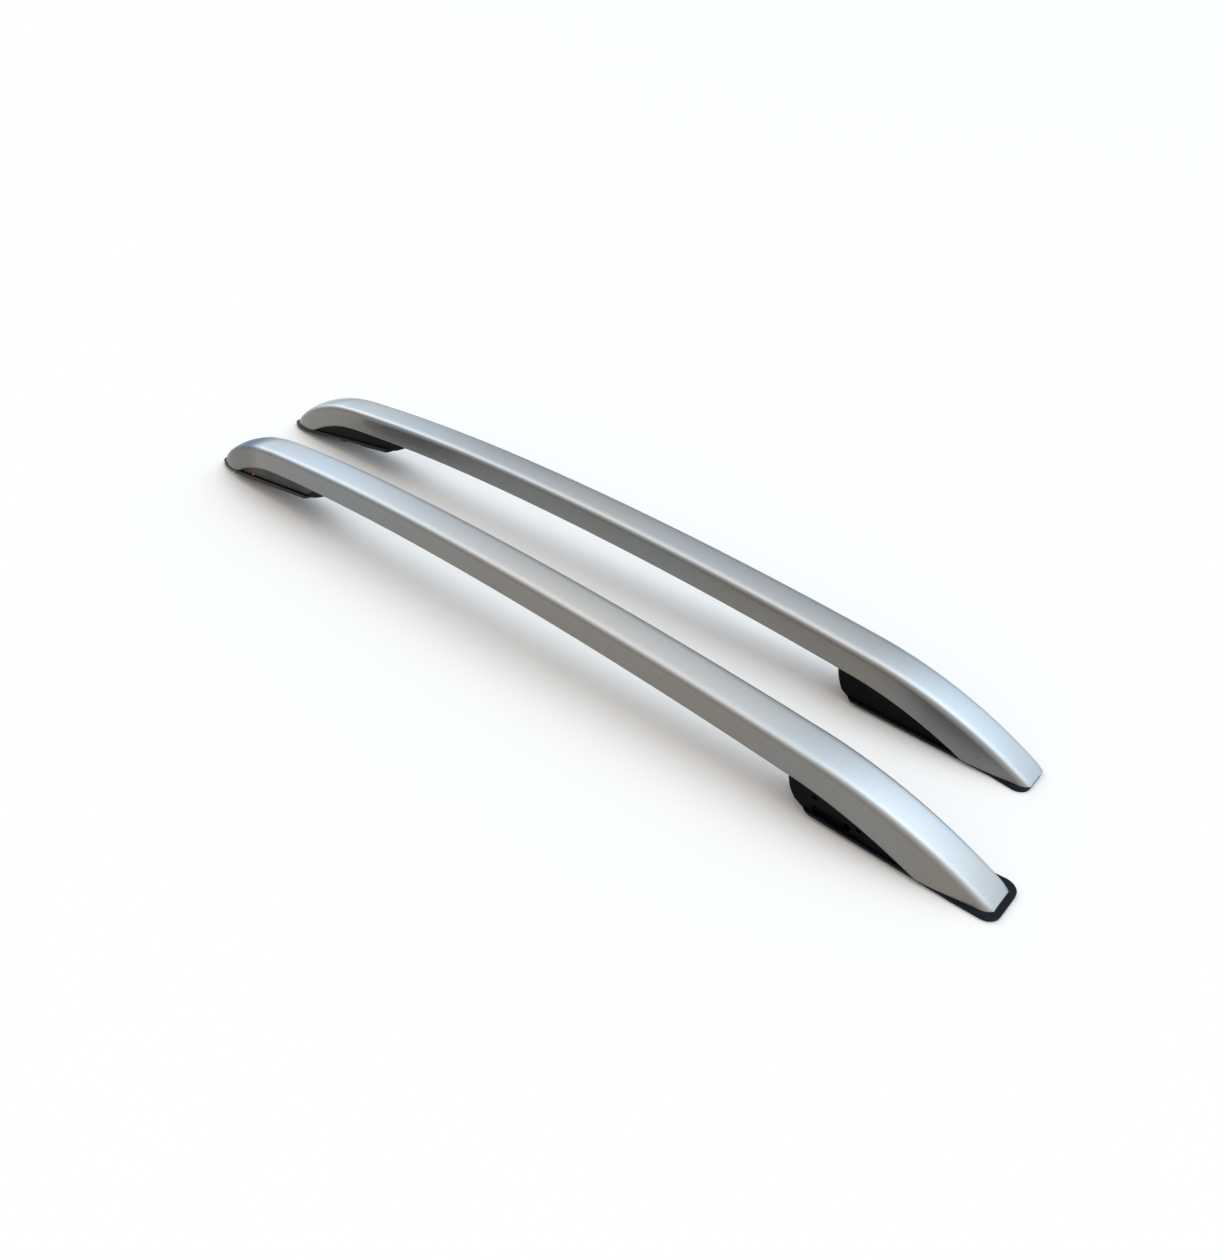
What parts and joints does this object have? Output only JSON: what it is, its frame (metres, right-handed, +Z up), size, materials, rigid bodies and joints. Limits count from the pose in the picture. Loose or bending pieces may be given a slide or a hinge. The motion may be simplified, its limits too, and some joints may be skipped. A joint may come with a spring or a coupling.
{
  "type": "roof side rail pair",
  "caption": "Pair of raised roof side rails: long silver bars bowed to blunt tips, each on two black wedge legs with rubber gaskets, for carrying cross bars on a car roof",
  "frame": {"origin": "centre of the bounding box at the height of the roof, on which the tips of the gaskets rest", "axes": "+X along the rails towards their rear ends, +Y towards the right rail, +Z up"},
  "size_m": [1.6219, 0.2879, 0.1195],
  "materials": {
    "silver_bar": "silver metallic paint under clear coat",
    "black_plastic": "fine grained black moulding",
    "black_rubber": "smooth black rubber",
    "zinc_steel": "zinc plated steel",
    "brass_insert": "plain brass"
  },
  "bodies": {
    "root": {"left_bar": "silver_bar", "left_front_leg": "black_plastic", "left_rear_leg": "black_plastic", "left_front_gasket": "black_rubber", "left_rear_gasket": "black_rubber", "left_front_mount_plate": "zinc_steel", "left_rear_mount_plate": "zinc_steel", "left_front_mount_nut": "zinc_steel", "left_rear_mount_nut": "zinc_steel", "left_front_tip_insert": "brass_insert", "left_rear_tip_insert": "brass_insert", "left_front_screws": "zinc_steel", "left_rear_screws": "zinc_steel", "left_front_rivet_nuts": "zinc_steel", "left_rear_rivet_nuts": "zinc_steel", "right_bar": "silver_bar", "right_front_leg": "black_plastic", "right_rear_leg": "black_plastic", "right_front_gasket": "black_rubber", "right_rear_gasket": "black_rubber", "right_front_mount_plate": "zinc_steel", "right_rear_mount_plate": "zinc_steel", "right_front_mount_nut": "zinc_steel", "right_rear_mount_nut": "zinc_steel", "right_front_tip_insert": "brass_insert", "right_rear_tip_insert": "brass_insert", "right_front_screws": "zinc_steel", "right_rear_screws": "zinc_steel", "right_front_rivet_nuts": "zinc_steel", "right_rear_rivet_nuts": "zinc_steel"}
  },
  "joints": []
}
